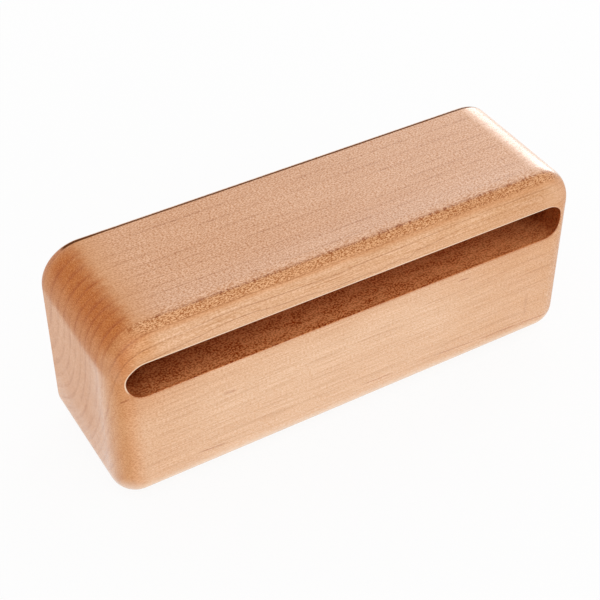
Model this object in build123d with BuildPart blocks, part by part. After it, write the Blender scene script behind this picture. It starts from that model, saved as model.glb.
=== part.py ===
"""A concert woodblock: one block of solid maple with a sound slot milled into its front.

The block stands on its flat underside. +X runs along its length and along the grain,
the slot faces -Y and +Z is up. The origin is the middle of the underside.
"""

import os

from build123d import *

os.makedirs("parts", exist_ok=True)

# The planed blank
block_length = 200.0
block_depth = 60.0
block_height = 80.0

# The roundings worked on the blank
top_end_round = 16.0  # the two top edges across the grain
bottom_end_round = 10.5  # the two bottom edges across the grain
front_round = 10.0  # the whole rim of the front face
rear_round = 2.5  # the whole rim of the rear face
corner_left = 0.5  # the least radius left at the corners of the flat front

# The sound slot, cut in one pass by a cutter as wide as the slot is high
slot_height = 15.0
roof_thickness = 13.5  # the playing wall above the slot
end_wall = 6.5  # the wood left beyond each end of the slot
rear_wall = 13.5  # the wood left behind the slot
slot_lip_round = 0.5  # the eased edge of the slot's mouth

# What follows from those sizes
slot_length = block_length - 2 * end_wall
slot_depth = block_depth - rear_wall
slot_middle = block_height - roof_thickness - slot_height / 2
front_plane = Plane.XZ.offset(block_depth / 2)
# A round-over runs round the end corners, so it stays inside the tightest of them
rim_round = min(front_round, top_end_round - corner_left, bottom_end_round - corner_left)

with BuildPart() as block:
    # The end corners are worked first, as the outline that the whole block is sawn to
    with BuildSketch(front_plane) as outline:
        Rectangle(block_length, block_height, align=(Align.CENTER, Align.MIN))
        fillet(outline.vertices().group_by(Axis.Y)[-1], top_end_round)
        fillet(outline.vertices().group_by(Axis.Y)[0], bottom_end_round)
    extrude(amount=-block_depth)

    # Then the front rim gets its round-over and the rear rim is only eased
    fillet(block.faces().sort_by(Axis.Y)[0].edges(), rim_round)
    fillet(block.faces().sort_by(Axis.Y)[-1].edges(), rear_round)

    # The slot has the cutter's full radius at both ends, which run out onto the round-over
    with BuildSketch(front_plane) as mouth:
        with Locations((0, slot_middle)):
            SlotOverall(slot_length, slot_height)
    extrude(amount=-slot_depth, mode=Mode.SUBTRACT)
    front = -block_depth / 2
    lip = block.edges(Select.LAST).filter_by_position(Axis.Y, front, front + rim_round)
    fillet(lip.filter_by(Axis.Z, reverse=True), slot_lip_round)

block.part.label = "block"
export_step(block.part, "parts/block.step")

print(f"slot {slot_length:.1f} long, {slot_height:.1f} high and {slot_depth:.1f} deep")
print(f"block {block.part.volume / 1000:.1f} cubic centimetres")
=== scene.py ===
# %% [markdown]
# # A woodblock in satin maple
#
# A woodblock is a single piece of hardwood with a deep slot milled into one side. The thin wall
# above the slot sounds when a beater strikes the top. The solid model gives the exact shape, so
# this lesson keeps that mesh as it is, and spends its effort on what a shape can't give: the wood.
# Sizes on the block are in millimetres, in the frame of the solid model: x runs along the grain,
# y from the slot's side to the back, and z up from the table.

# %% Load the frame
import math

import bmesh
import bpy
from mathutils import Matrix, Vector


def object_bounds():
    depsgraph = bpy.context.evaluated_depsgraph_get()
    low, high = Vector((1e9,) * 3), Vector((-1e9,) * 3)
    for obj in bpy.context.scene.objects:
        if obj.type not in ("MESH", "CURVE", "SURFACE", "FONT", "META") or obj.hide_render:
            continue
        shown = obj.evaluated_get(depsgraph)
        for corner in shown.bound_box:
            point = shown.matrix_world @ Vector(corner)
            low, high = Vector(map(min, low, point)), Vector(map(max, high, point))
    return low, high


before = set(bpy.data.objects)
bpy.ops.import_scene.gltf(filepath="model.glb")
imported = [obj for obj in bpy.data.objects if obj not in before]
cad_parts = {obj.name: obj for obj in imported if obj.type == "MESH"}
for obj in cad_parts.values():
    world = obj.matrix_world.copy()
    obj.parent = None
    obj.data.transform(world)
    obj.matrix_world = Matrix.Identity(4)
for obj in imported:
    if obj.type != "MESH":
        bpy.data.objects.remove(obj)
cad_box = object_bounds()
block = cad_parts["block"]
MM = 0.001
low, high = (corner / MM for corner in cad_box)
print("the block is", [round(side, 1) for side in high - low], "mm,", len(block.data.polygons), "faces")

# %% [markdown]
# ## Writing shader sums as Python
#
# Wood is mostly arithmetic: distances from the heart of the tree, and noise stretched along the
# grain. It could be wired by hand in the node editor, but hundreds of nodes are hard to read. So
# one small class wraps an output socket, and its operators add Math nodes. Then `1 - mask` or
# `radius / 4` builds the nodes it looks like.

# %% A socket that does sums


class Grain:
    """An output socket of the node tree that is being built."""

    tree = None

    def __init__(self, socket):
        self.socket = socket

    @classmethod
    def node(cls, kind, inputs=None, out=0, points=None, **settings):
        """Adds a node: its settings and curve points first, then the values or links of its sockets."""
        made = cls.tree.nodes.new("ShaderNode" + kind)
        for name, value in settings.items():
            setattr(made, name, value)
        if points:
            curve = made.mapping.curves[0]
            for across, up in points[1:-1]:
                curve.points.new(across, up)
            for point, (across, up) in zip(curve.points, points):
                point.location = (across, up)
            made.mapping.update()
        for name, value in (inputs or {}).items():
            if isinstance(value, Grain):
                cls.tree.links.new(value.socket, made.inputs[name])
            else:
                made.inputs[name].default_value = value
        return cls(made.outputs[out]) if made.outputs else None

    @classmethod
    def sum(cls, operation, *terms):
        """Adds a Math node on sockets and plain numbers."""
        return cls.node("Math", dict(enumerate(terms)), operation=operation)

    def __add__(self, other):
        return self.sum("ADD", self, other)

    def __radd__(self, other):
        return self.sum("ADD", other, self)

    def __sub__(self, other):
        return self.sum("SUBTRACT", self, other)

    def __rsub__(self, other):
        return self.sum("SUBTRACT", other, self)

    def __mul__(self, other):
        return self.sum("MULTIPLY", self, other)

    def __rmul__(self, other):
        return self.sum("MULTIPLY", other, self)

    def __truediv__(self, other):
        return self.sum("DIVIDE", self, other)

    def __rtruediv__(self, other):
        return self.sum("DIVIDE", other, self)

    def __pow__(self, other):
        return self.sum("POWER", self, other)

    def __abs__(self):
        return self.sum("ABSOLUTE", self)


def fresh_material(name):
    """An empty material, whose tree takes the next nodes."""
    made = bpy.data.materials.new(name)
    made.use_nodes = True
    made.node_tree.nodes.clear()
    Grain.tree = made.node_tree
    return made


maple = fresh_material("satin_maple")
print("started the material", maple.name)

# %% [markdown]
# ## Where a point lies in the wood
#
# The block was sawn from a plank, and the plank from a trunk. So every mark on it belongs to a
# place in the trunk. A flat picture of wood would need unwrapping and would break at the edges. A
# solid texture is worked out from the place alone, so it follows by itself over the roundings and
# into the slot. The end face shows arcs that curve about a heart behind the block, near the height
# of its top. Slow noise makes the rings sway, and quick noise makes them shiver.

# %% Coordinates in millimetres
place = Grain.node("TexCoord", out="Object")
in_mm = Grain.node("VectorMath", {0: place, "Scale": 1 / MM}, operation="SCALE")
x, y, z = (Grain.node("SeparateXYZ", {0: in_mm}, out=axis) for axis in "XYZ")


def length(a, b):
    """The length of a vector with two parts."""
    return (a * a + b * b) ** 0.5


def mottle(a, b, c, detail=0.0, roughness=0.5):
    """Noise about 0, from -0.5 to 0.5, over three values."""
    spot = Grain.node("CombineXYZ", {"X": a, "Y": b, "Z": c})
    sockets = {"Vector": spot, "Scale": 1.0, "Detail": detail, "Roughness": roughness}
    return Grain.node("TexNoise", sockets) - 0.5


def blotches(long, deep, tall, detail=0.0, roughness=0.5):
    """Noise through the wood, in spots of so many millimetres along x, y and z."""
    return mottle(x / long, y / deep, z / tall, detail, roughness)


heart_y, heart_z = 66.0, 70.0
sway = blotches(75, 30, 30) * 2.0
shiver = blotches(9, 4, 4, detail=2.0) * 0.8
from_heart = length(y - heart_y, z - heart_z) + sway + shiver
print("the heart of the tree lies", round(heart_y - high.y, 1), "mm behind the block")

# %% [markdown]
# ## Faces and roundings
#
# The cutter left flat faces, and sanding rounded the edges between them. Each face meets the
# fibres at its own angle and takes its own colour, and only the flats keep a full satin sheen.
# Separate materials per face would meet in hard lines. So each face gets a soft mask instead, from
# the place of a point, and one material mixes them all.

# %% One mask per face


def rise(value, start, end):
    """0 up to start and 1 from end on, with a soft step between. End may be below start."""
    if start > end:
        return 1 - rise(value, end, start)
    sockets = {"Value": value, "From Min": start, "From Max": end}
    return Grain.node("MapRange", sockets, interpolation_type="SMOOTHSTEP")


def band(value, start, full, fade, end):
    """0, then 1 from full to fade, then 0 again, with soft steps."""
    return rise(value, start, full) * rise(value, end, fade)


def most(first, *others):
    """The largest of several values."""
    for other in others:
        first = Grain.sum("MAXIMUM", first, other)
    return first


rim = 10.0
rim_y = low.y + rim
rim_z = high.z - rim
before_rim = rise(y, rim_y, rim_y - 2.0)

over_right = rise(x, 82.0, 86.0) * rise(z, 60.0, 72.0)
top_face = most(rise(z, 78.6, 79.4), over_right) * rise(x, -89.0, -68.0) * rise(y, -24.4, -22.0)
front_face = before_rim * rise(z, 77.4, 74.6) * band(x, -95.5, -87.5, 92.0, 98.5)
end_front = 0.30 * rise(y, -25.5, -22.0) + 0.70 * rise(y, -29.8, -22.0)
end_face = rise(abs(x), 95.5, 98.5) * end_front * most(rise(z, 67.0, 60.0), rise(x, 0.0, 20.0))
above_slot = rise(z, 66.0, 67.0) * rise(y, -27.2, -28.6) * rise(abs(x), 95.0, 88.0)
rear_face = rise(y, 28.4, 29.8)
foot = rise(z, 14.0, 5.0)
bent_front = rise(x, -91.0, -95.0) * band(y, -29.8, -28.0, -24.0, -21.0)
print("masks for the top, front, ends, rear and foot, with a front rim of", rim, "mm")

# %% [markdown]
# The front isn't even: it is palest low down, and deepens toward the slot and toward both ends.

# %% How pale the front is
front_high = rise(z, 20, 50)
front_paleness = front_face * (1 - 0.66 * rise(z, 36, 64))
front_paleness = front_paleness * (1 - (0.30 + 0.20 * front_high) * rise(x, 20, 86))
front_paleness = front_paleness * (1 - (0.20 + 0.14 * front_high) * rise(x, -58, -88))
front_paleness = front_paleness * (1 - 0.3 * rise(x, -76, -87) * rise(z, 62, 68))
print("the front is palest at its foot, up to z = 36 mm")

# %% [markdown]
# ## The slot and its lips
#
# The slot is one pass of a cutter, so its outline is a straight run with a half circle at each
# end. The distance from that outline tells the inside from the front. It also finds the eased lip,
# where a highlight is painted above the slot and shade below it.

# %% Distance from the slot
slot_half, slot_radius, slot_z = 86.0, 7.5, 59.0
from_slot = length(most(abs(x) - slot_half, 0.0), z - slot_z) - slot_radius
in_slot = rise(from_slot, 0.28, 0.08) * rise(y, 20.0, 18.0)
bright_lip = band(from_slot, 0.08, 0.22, 0.50, 0.85) * rise(y, 0.0, -10.0)
bright_lip = bright_lip * most(rise(z, 57, 62), rise(x, -84, -88) * rise(z, 54, 58))
bright_lip = bright_lip * (1 - 0.8 * rise(x, 84, 90))
low_lip = band(from_slot, 0.05, 0.20, 0.6, 1.0) * rise(z, 56, 53) * rise(y, rim_y, -27)
print("the slot is", 2 * (slot_half + slot_radius), "by", 2 * slot_radius, "mm")

# %% [markdown]
# ## The growth rings
#
# A ring is one year. Its early wood is pale, and it closes with a thin dark line of late wood. A
# Wave texture could draw rings, but evenly spaced. Real years differ, so a curve turns the
# distance from the heart into a count of years, and the fraction of that count says where in its
# year a point grew.

# %% Years and their late wood


def fraction(value):
    return Grain.sum("FRACT", value)


first_year = 34.0
year_widths = [
    6.2, 6.9, 6.5, 5.4, 4.7, 4.4, 4.5, 4.15, 4.05, 5.5,
    3.6, 3.3, 2.6, 3.7, 4.7, 5.4, 3.9, 4.6, 5.0,
]
years = len(year_widths)
span = sum(year_widths)
stretch = [(sum(year_widths[:count]) / span, count / years) for count in range(years + 1)]
year = Grain.node("FloatCurve", {"Value": (from_heart - first_year) / span}, points=stretch) * years
season = fraction(year)
soft_line = band(season, 0.50, 0.90, 0.88, 1.0)
crisp_line = band(season, 0.74, 0.93, 0.94, 1.0)
print(years, "years from", first_year, "to", round(first_year + span, 1), "mm from the heart")

# %% [markdown]
# No ring shows evenly. On the long faces its line breaks up into dashes. At the ends it comes and
# goes in patches, with hair lines between. A mask from the place alone would be awkward on the
# roundings, so here the direction that the surface faces tells how far it has turned to the end.

# %% Broken lines
facing = Grain.node("NewGeometry", out="Normal")
end_turn = abs(Grain.node("SeparateXYZ", {0: facing}, out="X"))
end_side = rise(end_turn, 0.02, 0.30) * rise(y, -29.0, -23.0)
broken = rise(blotches(22, 3, 3, detail=1.0), -0.25, 0.15)
dashed = rise(blotches(2.4, 1.2, 1.2, detail=1.0), -0.10, 0.12)
end_patches = rise(blotches(9, 7, 9, detail=2.0), -0.25, 0.25)
hair_lines = rise(mottle(x / 60, from_heart / 1.3, z / 14, detail=2.0, roughness=0.6), -0.15, 0.25)
print("lines break up over about 22 mm")

# %% [markdown]
# The front lies nearly along the rings, so the same sums would give it only a few broad bands. Its
# lines are counted up its height instead, with a wander of their own.

# %% Lines on the front
front_wander = z + mottle(x / 60, 0.0, z / 30) * 6.0 + mottle(x / 9, 1.0, z / 6, detail=1.0) * 0.7
front_season = fraction(front_wander / 3.3 + mottle(3.0, 0.0, front_wander / 8) * 3.6)
front_lines = band(front_season, 0.72, 0.93, 0.94, 1.0)
front_lines = front_lines * rise(mottle(x / 20, 2.0, z / 4), -0.22, 0.18) * front_face
print("a line on the front about every 3.3 mm")

# %% [markdown]
# ## Specks, fibres and clouds
#
# Pores and the ends of rays make fine specks all over, short along the grain. Long fibres show as
# faint streaks, and slow clouds of deeper colour lie under both. All of them are noise in spots of
# different sizes. The specks' 0.40 mm puts the flat top and front on whole steps of the noise,
# where it is quiet, and the roundings between steps, where it is rough: so are they on the block.

# %% Specks and fibres
specks = rise(blotches(0.85, 0.40, 0.40, detail=1.0, roughness=0.6), -0.08, 0.10)
grit = rise(blotches(0.75, 0.33, 0.33, detail=1.0, roughness=0.6), -0.06, 0.08)
slot_grit = rise(blotches(0.80, 0.60, 0.60, detail=1.0, roughness=0.6), -0.06, 0.08)
fibres = rise(blotches(22, 0.30, 0.30, detail=2.0, roughness=0.6), -0.12, 0.14)
clouds = rise(blotches(50, 16, 16, detail=1.0), -0.25, 0.25)
front_patches = rise(mottle(x / 14, 5.0, z / 8, detail=1.0), -0.2, 0.2) * front_face * rise(x, 25, 60)
slot_patches = rise(blotches(9, 3, 3, detail=2.0), -0.22, 0.22)
print("specks 0.85 mm long, fibres 22 mm")

# %% [markdown]
# ## Ray flecks under the top edge
#
# Rays are thin ribbons that run out from the heart. The rounded front edge cuts them at a slant
# just below the top, and there they show as a row of dark flecks over a band of dense specks. The
# angle round that edge says where the band lies, because a band of height would spread out near
# the top, where the surface is almost level.

# %% The speck band and its row of flecks


def turn_about(out, up):
    """The angle from straight up, in radians."""
    return Grain.sum("ARCTAN2", out, up)


def between(angle, *degrees):
    """A band of angles, with its four steps in degrees."""
    return band(angle, *(math.radians(step) for step in degrees))


edge_turn = turn_about(rim_y - y, z - rim_z)
edge_side = rise(y, rim_y + 0.4, rim_y - 0.2) * rise(z, rim_z - 0.5, rim_z + 0.5)
band_wander = mottle(x / 12, 4.0, 1.0, detail=2.0) * math.radians(8)
speck_band = edge_side * between(edge_turn + band_wander, 14, 19, 38, 48) * rise(x, -91.0, -83.0)
row_wander = mottle(x / 2.5, 0.0, 5.0, detail=1.0) * math.radians(9)
row_bend = rise(x, -82.0, -92.0) * math.radians(6)
fleck_row = edge_side * between(edge_turn + row_wander - row_bend, 14.5, 17, 23, 27)
crowd = 0.135 - 0.105 * band(x, -15, 15, 55, 80)
fleck_seed = mottle(x / 1.1, edge_turn * 1.2, 2.0)
flecks = fleck_row * rise(fleck_seed - crowd, 0.0, 0.07) * band(x, -92.0, -88.0, 88.0, 95.0)
print("flecks from 14.5 to 27 degrees round the front edge")

# %% [markdown]
# ## Lines of this one block
#
# Above the slot the front only just grazes a year, so its line wanders in a long hump that no
# formula gives. Four such lines are drawn, each as a curve over the length of the block.
# A line's height is measured down the surface, from where the front edge starts to bend, and is
# written in degrees round that edge.

# %% Lines above the slot
down = rim * Grain.sum("MINIMUM", most(edge_turn, 0.0), math.pi / 2) + most(rim_z - z, 0.0)
block_length = high.x - low.x
curve_height = 30.0
mm_per_degree = math.radians(rim)


def drawn_line(width, *bends):
    """A thin line along the front edge, through pairs of x and degrees."""
    points = [((at - low.x) / block_length, turn * mm_per_degree / curve_height) for at, turn in bends]
    path = Grain.node("FloatCurve", {"Value": (x - low.x) / block_length}, points=points) * curve_height
    wobble = mottle(x / 6, 3.0, 3.0, detail=2.0) * 0.35
    return rise(abs(down + wobble - path), width, 0.1 * width) * before_rim * rise(x, -89.0, -83.0)


fleck_line = drawn_line(
    0.32, (-100, 29), (-90, 27), (-83, 21), (-60, 20), (-40, 20.5), (0, 21), (100, 21),
)
edge_line = drawn_line(
    0.36, (-100, 48), (-84, 45), (-55, 43), (-30, 45), (0, 45), (30, 42), (60, 40), (100, 37),
)
upper_line = drawn_line(
    0.38, (-100, 82), (-90, 76), (-87, 74), (-74, 69), (-61, 64.6), (-51, 62.3), (-38, 66), (-26, 68),
    (-10, 69.4), (0, 66.5), (19, 64.6), (29, 62), (45, 59.4), (64, 58), (74, 56), (84, 56.5), (100, 60),
)
hump_line = drawn_line(
    0.40, (-100, 110), (-90, 107), (-75, 98), (-64, 90), (-59, 86), (-52, 83), (-43, 83), (-39, 87),
    (-32, 90.6), (-23, 92.5), (-14, 97), (-6, 98.5), (3, 97), (8, 101), (10.5, 100), (12, 93), (15, 94),
    (17, 91), (20.5, 96), (22.5, 92), (24.5, 85), (28, 84), (33, 82), (36, 79), (41, 76), (46, 74.6),
    (54, 75.6), (60, 74), (70, 72.3), (80, 70.4), (100, 75),
)
long_lines = most(edge_line * 0.8, fleck_line * 0.7 * rise(x, 30, 0), upper_line, hump_line)
long_lines = long_lines * (1 - 0.5 * rise(x, 15, 55))
print("four lines drawn above the slot")

# %% [markdown]
# Beside the slot's left end the years run out over the rounded corner, so their lines turn down
# round the slot. There a line is easiest to draw as a distance from the centre of the slot's end,
# over the angle about it: 0 degrees is straight up, and 90 degrees points out of the end.

# %% Lines round the slot's left end
about_end = turn_about(-slot_half - x, z - slot_z)
end_reach = length(x + slot_half, z - slot_z)
turn_start, turn_span = -60, 200


def turning_line(width, *bends):
    """A thin line round the slot's left end, through pairs of degrees and millimetres."""
    points = [((turn - turn_start) / turn_span, reach / curve_height) for turn, reach in bends]
    turned = (about_end * math.degrees(1) - turn_start) / turn_span
    path = Grain.node("FloatCurve", {"Value": turned}, points=points) * curve_height
    wobble = mottle(x / 6, z / 6, 3.0, detail=2.0) * 0.35
    first, last = bends[0][0], bends[-1][0]
    ends = between(about_end, first, first + 12, last - 20, last)
    return rise(abs(end_reach + wobble - path), width, 0.1 * width) * ends * before_rim


turning_upper = turning_line(
    0.42, (-14, 14.4), (-5, 14.0), (10, 13.2), (22.5, 12.67), (35, 12.1), (45, 11.67), (60, 11.27),
    (72.5, 11.07), (87.5, 11.2), (100, 11.8), (110, 13.0), (120, 15.3),
)
turning_edge = turning_line(
    0.42, (-15, 18.5), (-2.5, 17.9), (10, 17.2), (22.5, 16.2), (32.5, 15.5), (45, 14.5), (60, 13.67),
    (75, 12.8),
)
turning_fine = turning_line(0.36, (85, 9.6), (95, 10.0), (105, 10.9), (115, 12.0), (130, 15.3))
turning = most(turning_upper, turning_edge * 0.8, turning_fine * 0.5)
turning = turning * (1 - 0.3 * rise(about_end, 0.6, 1.0))
drawn = most(long_lines, turning)
print("three lines turn round the slot's left end")

# %% [markdown]
# Low on the front are a few short brown streaks, where a bud or a bruise left its mark. Noise
# would scatter them anywhere, so each is a thin dash from one point to another that fades at both
# ends. One mark is broad and pale, and one stands upright near the right end.

# %% Streaks low on the front


def streak(start_x, start_z, end_x, end_z, width):
    """A dash on the front face from one point to another."""
    along = (x - start_x) / (end_x - start_x)
    waver = mottle(x / 5, z / 5, 8.0, detail=2.0) * 0.8
    off = abs(z - start_z - along * (end_z - start_z) + waver)
    return rise(off, width, 0.2 * width) * band(along, 0.0, 0.3, 0.7, 1.0)


dashes = [
    (34, 12.4, 60, 10.9, 0.40),
    (56, 11.0, 80, 10.2, 0.45),
    (76, 10.4, 97, 9.0, 0.50),
    (-70, 12.9, -55, 12.0, 0.50),
    (1, 12.8, 19, 12.1, 0.50),
    (45, 47.2, 51, 46.6, 0.50),
    (-96.6, 50.8, -92.6, 53.0, 0.60),
]
pale_mark = streak(-58, 38.0, -51, 37.2, 1.0) * 0.65
upright_x = 80.8
lean = mottle(z / 4, 1.0, 6.0) * 2.0
upright_mark = rise(abs(x - upright_x + lean), 1.3, 0.1) * band(z, 12, 17, 22, 28) * 0.3
marks = most(*(streak(*dash) for dash in dashes), pale_mark, upright_mark) * rise(y, rim_y, rim_y - 4.0)
print(len(dashes) + 2, "marks")

# %% [markdown]
# ## The colour of the wood
#
# Maple under clear lacquer is a warm tan on its flats, and a deeper orange where an edge is
# rounded and the fibres end in the surface. A colour ramp over one noise would give every face the
# same look. So each face is painted with its own wood first, by its mask.

# %% A wood for each face


def opaque(colour):
    return (*colour, 1.0)


def paint(tone, amount, over, blend="MIX"):
    """Lays a colour over a tone, by amount. The numbers are the Mix node's sockets for colours."""
    sockets = {0: amount, 6: tone, 7: over}
    return Grain.node("Mix", sockets, out=2, data_type="RGBA", blend_type=blend)


edge_wood = opaque((0.79, 0.408, 0.200))
band_wood = opaque((0.93, 0.530, 0.285))
top_wood = opaque((0.895, 0.505, 0.288))
front_wood = opaque((0.962, 0.615, 0.378))
strip_wood = opaque((0.89, 0.540, 0.322))
end_wood = opaque((0.89, 0.505, 0.285))

tone = edge_wood
for face, face_wood in (
    (speck_band, band_wood),
    (top_face, top_wood),
    (front_paleness, front_wood),
    (above_slot, strip_wood),
    (end_face, end_wood),
):
    tone = paint(tone, face, face_wood)
print("painted the top", top_wood[:3], "and the front", front_wood[:3])

# %% [markdown]
# Every mark is then laid over that as a stain, which multiplies: it darkens and warms the wood
# below it, as late wood and pores do, and still lets that wood show through. First come the years.

# %% Stains of the years


def stained(tone, *stains):
    """Darkens a tone by pairs of an amount and a see-through colour."""
    for amount, colour in stains:
        tone = paint(tone, amount, colour, "MULTIPLY")
    return tone


cloud_stain = opaque((0.93, 0.86, 0.76))
patch_stain = opaque((0.96, 0.90, 0.76))
veiled_stain = opaque((0.70, 0.53, 0.27))
end_stain = opaque((0.76, 0.54, 0.24))
line_stain = opaque((0.64, 0.49, 0.32))
long_faces = most(top_face, rear_face)

tone = stained(
    tone,
    (clouds * 0.55, cloud_stain),
    (front_patches * 0.5, patch_stain),
    (crisp_line * broken * long_faces * (0.26 + 0.62 * dashed), veiled_stain),
    (soft_line * end_side * (0.18 + 0.50 * end_patches), end_stain),
    (end_patches * end_side * 0.20, end_stain),
    (grit * end_side * 0.40, end_stain),
    (drawn * (0.50 + 0.25 * fibres), line_stain),
    (hair_lines * 0.16 * end_side, end_stain),
    (front_lines * 0.42, veiled_stain),
)
print("stained the years and the drawn lines")

# %% [markdown]
# Then come fibres, pores and flecks. Near the table and on the right rounding the pores fade, so
# that the painted light and the painted highlight there stay smooth.

# %% Stains of fibres, pores and flecks
top_stain = opaque((0.63, 0.445, 0.24))
band_stain = opaque((0.51, 0.30, 0.10))
rim_shade = opaque((0.93, 0.93, 0.89))
fleck_stain = opaque((0.57, 0.34, 0.14))
strip_shade = opaque((0.93, 0.89, 0.86))
# the pores fade under the painted table light and the painted highlight
pores_under_painted_light = (1 - 0.4 * foot) * (1 - 0.6 * over_right)

tone = stained(
    tone,
    (fibres * (0.40 + 0.10 * front_face + 0.10 * above_slot), veiled_stain),
    (specks * (0.42 + 0.50 * top_face + 0.08 * front_face) * pores_under_painted_light, top_stain),
    (grit * speck_band, band_stain),
    (bent_front, rim_shade),
    (flecks * 0.62, fleck_stain),
    (above_slot * rise(x, 45, 82) * 0.8, strip_shade),
)
print("stained the fibres, pores and flecks")

# %% [markdown]
# ## Painted shade on the bend at the left end
#
# Where the top bends down to the left end the surface cuts across the fibres, and it turns away
# from the white room, so it lies in shade and mirrors less of it. That shade and darker reflection
# are painted in as a deep orange, strongest halfway round, with a ragged start. In the corner
# beside the slot the colour reaches lower, and a warm spot lies over the slot's end.

# %% Painted shade on the bend and its corner
bend_orange = opaque((0.85, 0.585, 0.225))
bend_grit = opaque((0.82, 0.60, 0.25))

ragged = blotches(40, 4, 40, detail=2.0) * 0.3 * rise(end_turn, 0.0, 0.1)
in_corner = rise(y, rim_y, -27.0)
bend_top = 66 + 8 * in_corner
bend_low = 61
bend_foot = bend_low - 13 * in_corner
# the painted shade of the bend, strongest halfway round
shaded_bend = rise(end_turn + ragged, -0.04, 0.52) * (1 - 0.6 * rise(end_turn, 0.68, 1.0))
shaded_bend = shaded_bend * rise((z - bend_foot) / (bend_top - bend_foot), 0.0, 1.0) * rise(x, 0.0, -40.0)
shaded_bend = shaded_bend * (1 - 0.55 * rise(y, rim_y, -25.0)) * (1 - 0.5 * rise(y, 22.0, 27.0))
deep_corner = rise(x, -78, -86) * rise(y, -25.8, -28.0)
deep_corner = deep_corner * (0.18 * rise(z, 36, 48) + 0.40 * rise(z, 66, 72))
spot_x, spot_z = -92.5, 67.5
warm_spot = rise(length(x - spot_x, z - spot_z), 5.0, 1.0) * rise(y, rim_y, -25.0)

tone = stained(
    tone,
    (shaded_bend, bend_orange),
    (grit * shaded_bend * 0.5, bend_grit),
    (crisp_line * shaded_bend * 0.26, end_stain),
    (deep_corner, bend_orange),
    (warm_spot * 0.28, bend_orange),
)
print("the bend starts", bend_low, "mm up, and lower in the corner")

# %% [markdown]
# The brown streaks come next. Then the lowest millimetres are painted paler, as painted light from
# the white table below, and the far side of the right rounding gets a pale painted highlight.

# %% Streaks, painted table light at the foot, and a painted highlight on the right
mark_stain = opaque((0.62, 0.40, 0.20))
painted_light_wood = opaque((0.94, 0.72, 0.56))
painted_warm_light = opaque((0.99, 0.73, 0.47))

tone = stained(tone, (marks * 0.8, mark_stain))
foot_height = 13
# painted light from the table on the ends and the front, and a painted highlight on the right rounding
end_table_light = rise(z, foot_height, 5) * rise(abs(x), 90, 97) * (0.50 - 0.50 * rear_face)
front_table_light = rise(z, 9.5, 6) * rise(abs(x), 97, 90) * rise(y, 0, rim_y) * 0.40
right_highlight = over_right * rise(x, 90.0, 95.0) * rise(y, -26.0, -22.0) * 0.40
tone = paint(tone, end_table_light, painted_light_wood)
tone = paint(tone, front_table_light, painted_warm_light)
tone = paint(tone, right_highlight, painted_light_wood)
print("the ends are paler below", foot_height, "mm")

# %% [markdown]
# ## Raw wood and painted shade in the slot
#
# No sandpaper and no lacquer reach into the slot. Its wood is raw and rough from the cutter.
# Shade is painted over it in deep brown at the ends and toward the back, and the left half is
# painted darker. Light that bounces about in there makes wood look redder, so the raw colour is a
# strong orange before its stains and painted shade.

# %% The slot's wood, its painted shade, and its lips
slot_wood = opaque((0.955, 0.435, 0.178))
slot_stain = opaque((0.74, 0.58, 0.44))
grit_stain = opaque((0.43, 0.16, 0.01))
end_shade = opaque((0.72, 0.60, 0.50))
painted_slot_shade = opaque((0.66, 0.50, 0.42))
lip_highlight = opaque((0.99, 0.76, 0.55))
lip_shade = opaque((0.82, 0.66, 0.50))

raw_tone = stained(
    slot_wood,
    (slot_patches * 0.45, slot_stain),
    (slot_grit * (0.55 + 0.45 * slot_patches) * (1 - 0.2 * rise(x, 10, 70)), grit_stain),
    (fibres * 0.40, slot_stain),
    # painted shade, deep brown toward the ends, the back and the left half
    (rise(abs(x), 82, 92), end_shade),
    (rise(x, 0, -90) * (0.40 + 0.50 * rise(y, -28, -20)), painted_slot_shade),
    (rise(x, -60, 10) * 0.26, painted_slot_shade),
    (rise(y, -24, -14) * 0.45, painted_slot_shade),
    (rise(x, 58, 80) * 0.16, painted_slot_shade),
    (rise(x, 82, 92) * rise(y, -24, -16) * 0.60, painted_slot_shade),
    (rise(x, 87, 92), painted_slot_shade),
    (rise(y, -28.6, -29.2) * 0.50, slot_stain),
)
tone = paint(tone, in_slot, raw_tone)
# a painted highlight on the upper lip, and painted shade on the lower lip
tone = paint(tone, bright_lip * 0.85, lip_highlight)
tone = stained(tone, (low_lip * (0.35 + 0.45 * rise(x, -30, 30)), lip_shade))
print("raw wood in the slot, from", slot_wood[:3])

# %% [markdown]
# ## Satin on the flats
#
# The lacquer is rubbed down to satin, so it mirrors the white room as a soft veil. White paint
# could fake that veil, but it would stay when the light changes. A coat over the wood gives the
# same look and follows the light. It is full on the flats and thin on the roundings, where rubbing
# went deepest.

# %% The coat
top_coat = top_face * (0.56 + 0.35 * rise(x, -70, 50) + 0.32 * rise(y, -6, rim_y))
end_coat = 0.42 + 0.40 * rise(y, -4, rim_y) + 0.24 * rise(y, -15, -20.5) + 0.40 * rise(z, 28, 12)
end_coat = end_face * end_coat
strip_coat = above_slot * (0.15 + 0.25 * band(x, -84, -72, 0, 25))
right_sheen = rise(x, 91.5, 96.0) * rise(z, 68.0, 62.0)
back_corner = rise(y, 25.0, 28.0) * rise(x, -84.0, -90.0)
front_corner = rise(x, -93.5, -96.5) * rise(y, rim_y, -23.0) * band(z, 58.0, 64.0, 69.0, 74.0)

flats = most(top_coat, front_paleness, end_coat, strip_coat, 0.8 * rear_face, 0.85 * foot)
flats = most(flats, 0.45 * right_sheen, 0.4 * back_corner, 0.30 * front_corner)
least_coat = 0.06
satin = least_coat + (1 - least_coat) * flats
print("the coat runs from", least_coat, "on the roundings to 1 on the flats")

# %% [markdown]
# Open pores and flecks stay matt, because the lacquer sinks into them, and so does the raw slot.
# There the shine has to go altogether, so a second, matt shader of the same colour takes over.

# %% What stays matt
open_pores = most(
    flecks * 0.55,
    specks * (0.25 + 0.15 * top_face + 0.15 * front_face) * pores_under_painted_light,
    grit * (0.5 * shaded_bend + 0.3 * end_face),
)
matt_share = most(in_slot, open_pores)
print("matt in the slot and in open pores")
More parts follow.
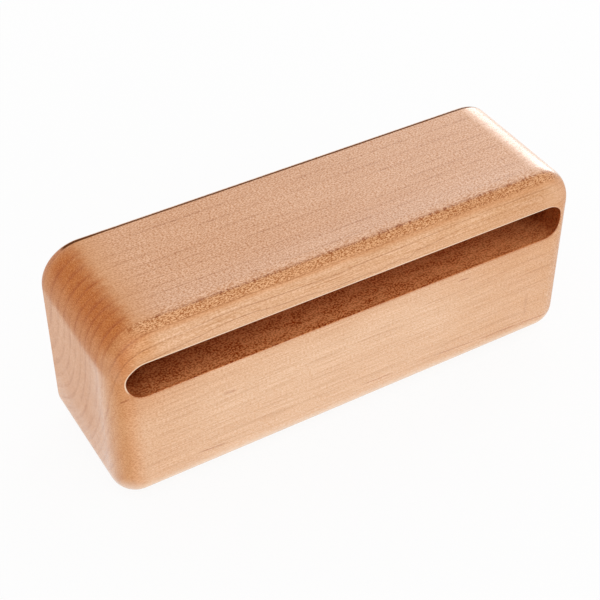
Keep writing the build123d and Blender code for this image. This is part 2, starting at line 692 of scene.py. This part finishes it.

# %% [markdown]
# ## Painted shade along the back edge
#
# Shade is painted along the back edge of the top, where it turns away from the light. It is a
# thin dark line, matt and rough, that swells a little at the left end and fades toward the right.
# An extra strip of mesh would stand off the wood, so the painted shade is a third shader on the
# same surface.

# %% The painted shade line at the back
left_swell = rise(x, -70.0, -86.0)
back_shade_line = rise(y + 0.3 * left_swell, 27.15, 27.50) * rise(y - 0.2 * left_swell, 28.35, 27.95)
back_shade_line = back_shade_line * rise(z, 60.0, 70.0) * band(x, -91.8, -89.6, 87.0, 96.5)
# the colour of the painted shade along the back edge
shade_line_brown = opaque((0.14, 0.048, 0.016))
print("a dark line from y = 27.2 to 28.3 mm")

# %% [markdown]
# ## Putting the maple together
#
# Late wood, pores, flecks and fibres lie a few hundredths of a millimetre deep, too fine for mesh,
# so a Bump node gives them their relief. Two Principled shaders share the colour: one is lacquered
# and one is raw.

# %% The maple
relief = crisp_line * 0.2 + specks * 0.5 + flecks * 0.35 + fibres * 0.2
bumped = Grain.node("Bump", {"Strength": 0.25, "Distance": 0.06 * MM, "Height": 1 - relief})
lacquered = Grain.node(
    "BsdfPrincipled",
    {
        "Base Color": tone,
        "Roughness": 0.44 + fibres * 0.05 + specks * 0.08,
        "IOR": 1.45,
        "Normal": bumped,
        "Coat Weight": satin,
        "Coat Roughness": 0.25,
        "Coat IOR": 2.2,
    },
)
raw = Grain.node(
    "BsdfPrincipled",
    {"Base Color": tone, "Roughness": 1.0, "Specular IOR Level": 0.0, "Normal": bumped},
)
shade_line_bsdf = Grain.node("BsdfDiffuse", {"Color": shade_line_brown, "Roughness": 1.0})
slotted = Grain.node("MixShader", {0: matt_share, 1: lacquered, 2: raw})
with_back_shade = Grain.node("MixShader", {0: back_shade_line, 1: slotted, 2: shade_line_bsdf})
Grain.node("OutputMaterial", {"Surface": with_back_shade})
block.material_slots[0].material = maple
print("the maple has", len(maple.node_tree.nodes), "nodes")

# %% [markdown]
# ## Floor and surroundings
#
# The block stands on a white table. Light strong enough to make a table pure white would bleach
# the wood. So the table is matt and keeps the block's soft shadow, and for what the camera and the
# gloss see of it, most of its white is its own.

# %% The table
table_size = 6.0
floor_mesh = bpy.data.meshes.new("floor")
plan = bmesh.new()
bmesh.ops.create_grid(plan, x_segments=1, y_segments=1, size=table_size)
plan.to_mesh(floor_mesh)
plan.free()
floor = bpy.data.objects.new("floor", floor_mesh)
floor.location.z = -0.3 * MM
bpy.context.scene.collection.objects.link(floor)


def seen_directly():
    """1 for what the camera, a reflection or a clear material sees."""
    path = Grain.node("LightPath").socket.node
    rays = ("Is Camera Ray", "Is Glossy Ray", "Is Transmission Ray")
    return most(*(Grain(path.outputs[ray]) for ray in rays))


white = opaque((1.0, 1.0, 1.0))
table_white = fresh_material("table_white")
matt = Grain.node("BsdfDiffuse", {"Color": opaque((0.95, 0.95, 0.95))})
own_white = Grain.node("Emission", {"Color": white, "Strength": 1.0})
table = Grain.node("MixShader", {0: 0.90 * seen_directly(), 1: matt, 2: own_white})
Grain.node("OutputMaterial", {"Surface": table})
floor_mesh.materials.append(table_white)
print("a white table, just under the block")

# %% [markdown]
# The room around it is white in the same way. As light on the block it is a little weaker than
# white, and to the camera and in the gloss it shows as plain white. A photographed room would do
# too, but it would bring its own colours.

# %% The white room
world = bpy.data.worlds.new("studio")
world.use_nodes = True
world.node_tree.nodes.clear()
bpy.context.scene.world = world
Grain.tree = world.node_tree
fill_strength = 0.82
fill = Grain.node("Background", {"Color": white, "Strength": fill_strength})
backdrop = Grain.node("Background", {"Color": white, "Strength": 1.0})
air = Grain.node("MixShader", {0: seen_directly(), 1: fill, 2: backdrop})
Grain.node("OutputWorld", {"Surface": air})
print("white surroundings, which light the block at", fill_strength)

# %% [markdown]
# ## Lights
#
# Small lamps would draw hard shadows and sparks, so two large soft panels light the block. One
# hangs in front, to the left. The other stands low behind it, to the right, and lays the bright
# sheen along the right rounding. Their places and sizes are in metres.

# %% Panels


def panel(name, where, aim, width, height, radiance):
    """A soft rectangular lamp that is as bright as `radiance` times white."""
    lamp = bpy.data.lights.new(name, "AREA")
    lamp.shape = "RECTANGLE"
    lamp.size = width
    lamp.size_y = height
    lamp.energy = math.pi * width * height * radiance
    made = bpy.data.objects.new(name, lamp)
    made.location = where
    made.rotation_mode = "QUATERNION"
    made.rotation_quaternion = (Vector(aim) - Vector(where)).to_track_quat("-Z", "Y")
    made.visible_camera = False
    bpy.context.scene.collection.objects.link(made)
    return made


front_panel = panel("front_panel", (-0.45, -1.3, 0.5), (0, 0, 0.04), 1.6, 1.2, 0.88)
rear_panel = panel("rear_panel", (0.81, 0.57, 0.23), (0, 0, 0.08), 0.6, 0.47, 2.5)
print("panels:", front_panel.name, "and", rear_panel.name)

# %% [markdown]
# ## The camera
#
# The view comes from fitting the block's outline and its slot to the picture: a long lens, level,
# from the front left and well above. Placing a camera by eye would leave the edges a few pixels
# off, so the fitted angles, distance and lens are written down as they came out.

# %% Camera
azimuth, elevation = math.radians(-30.36), math.radians(41.065)
distance = 560.16
back = Vector((
    math.sin(azimuth) * math.cos(elevation),
    -math.cos(azimuth) * math.cos(elevation),
    math.sin(elevation),
))
target = Vector((-7.554, 0.0, 38.436))
lens = bpy.data.cameras.new("camera")
lens.sensor_width = 36.0
lens.lens = 86.764
lens.clip_start = 0.01
camera = bpy.data.objects.new("camera", lens)
camera.location = (target + back * distance) * MM
camera.rotation_mode = "QUATERNION"
camera.rotation_quaternion = (-back).to_track_quat("-Z", "Y")
bpy.context.scene.collection.objects.link(camera)
bpy.context.scene.camera = camera
print("camera at", [round(v, 3) for v in camera.location])

# %% [markdown]
# ## Finish
#
# Colours are shown as they are.

# %% Finish
bpy.context.scene.view_settings.view_transform = "Standard"
